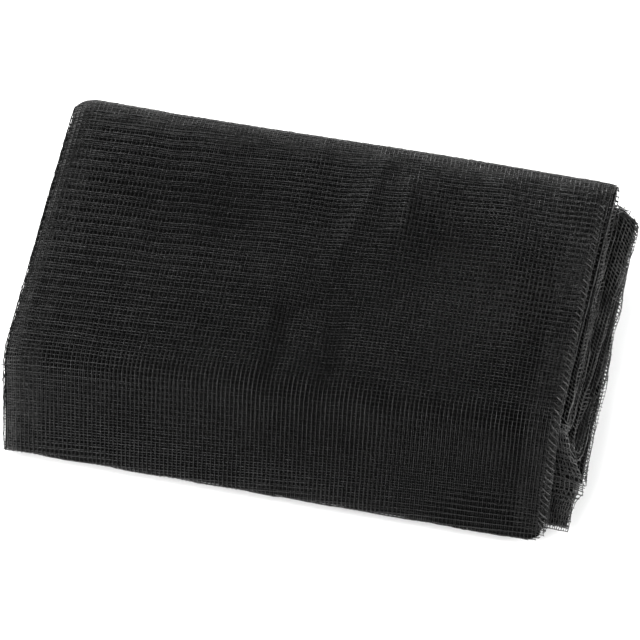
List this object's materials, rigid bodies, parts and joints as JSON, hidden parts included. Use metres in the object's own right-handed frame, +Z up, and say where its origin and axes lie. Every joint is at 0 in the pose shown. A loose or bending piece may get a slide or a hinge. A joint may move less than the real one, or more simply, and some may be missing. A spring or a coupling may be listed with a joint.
{
  "type": "folded insect screen mesh",
  "caption": "Black knitted insect screen net, folded back and forth into a flat pack with one panel wrapped over the top, front and underside.",
  "frame": {"origin": "on the floor under the middle of the pack's box", "axes": "+X along the pack to its open layered end, +Y from the front panel to the back folds, +Z up"},
  "size_m": [0.2018, 0.1248, 0.0488],
  "materials": {
    "net": "black knitted polyester net with a slight thread sheen"
  },
  "bodies": {
    "root": {"screen_mesh": "net"}
  },
  "joints": []
}
